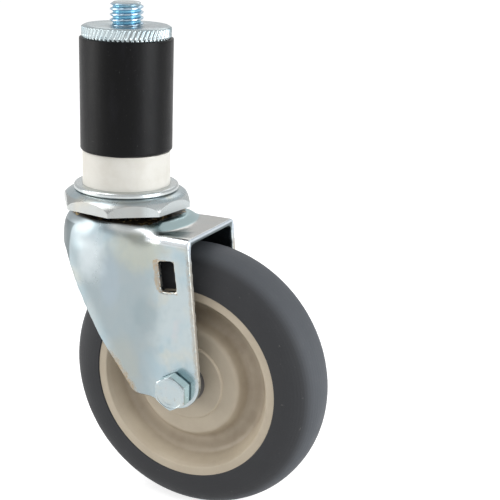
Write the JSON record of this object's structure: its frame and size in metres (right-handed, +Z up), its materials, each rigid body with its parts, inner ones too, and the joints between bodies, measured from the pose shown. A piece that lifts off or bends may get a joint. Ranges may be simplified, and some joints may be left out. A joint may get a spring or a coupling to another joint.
{
  "type": "stem castor",
  "caption": "Swivel castor with an expanding rubber stem that grips inside a round tube leg, a pressed steel fork and a plain-bearing wheel with a rubber tyre.",
  "frame": {"origin": "on the swivel axis, on the top face of the seat washer where the end of the tube leg rests", "axes": "+Z up along the swivel axis and out of the top of the stem, +X towards the trailing wheel, +Y along the wheel's axle towards its lock nut"},
  "size_m": [0.1074, 0.0515, 0.1864],
  "materials": {
    "stud_zinc": "bright zinc plate with a blue tint on the thread",
    "nut_zinc": "bright zinc plate, knurled rim",
    "sleeve_rubber": "matt black rubber",
    "spacer_nylon": "smooth white nylon",
    "washer_zinc": "bright zinc plate",
    "head_zinc": "bright zinc plate",
    "ball_steel": "polished steel balls in amber grease",
    "fork_zinc": "bright zinc plate with faint stains",
    "cup_zinc": "bright zinc plate",
    "bolt_zinc": "bright zinc plate with a blue tint",
    "insert_nylon": "white nylon",
    "bushing_steel": "plain turned steel",
    "bearing_plastic": "smooth bearing plastic",
    "core_plastic": "moulded beige plastic",
    "tyre_rubber": "smooth grey rubber tyre"
  },
  "bodies": {
    "stem": {"threaded_stem": "stud_zinc", "race_head": "head_zinc", "seat_washer": "washer_zinc", "spacer_sleeve": "spacer_nylon", "lower_race": "cup_zinc"},
    "expander": {"rubber_sleeve": "sleeve_rubber"},
    "nut": {"knurled_nut": "nut_zinc"},
    "swivel_balls": {"upper_balls": "ball_steel", "lower_balls": "ball_steel"},
    "fork": {"fork": "fork_zinc", "axle_bolt": "bolt_zinc", "lock_nut": "bolt_zinc", "nut_insert": "insert_nylon", "spanner_bushing": "bushing_steel", "near_spacer": "bushing_steel", "far_spacer": "bushing_steel"},
    "wheel": {"wheel_core": "core_plastic", "tyre": "tyre_rubber", "near_bushing": "bearing_plastic", "far_bushing": "bearing_plastic"}
  },
  "joints": [
    {"name": "nut_travel", "type": "slide", "parent": "stem", "child": "expander", "axis": [0, 0, -1], "range_m": [0, 0.0059], "deforming": ["rubber_sleeve"]},
    {"name": "nut_turn", "type": "hinge", "parent": "expander", "child": "nut", "pos_m": [0, 0, 0.0555], "axis": [0, 0, -1], "range_deg": [0, 1100]},
    {"name": "ball_orbit", "type": "hinge", "parent": "stem", "child": "swivel_balls", "pos_m": [0, 0, -0.008], "axis": [0, 0, 1], "continuous": true},
    {"name": "swivel", "type": "hinge", "parent": "stem", "child": "fork", "pos_m": [0, 0, -0.008], "axis": [0, 0, 1], "continuous": true},
    {"name": "wheel_spin", "type": "hinge", "parent": "fork", "child": "wheel", "pos_m": [0.032, 0, -0.06975], "axis": [0, 1, 0], "continuous": true}
  ],
  "couplings": [
    {"joint": "nut_turn", "follows": "nut_travel", "rad_per_m": 3215.8},
    {"joint": "ball_orbit", "follows": "swivel", "ratio": 0.5}
  ]
}
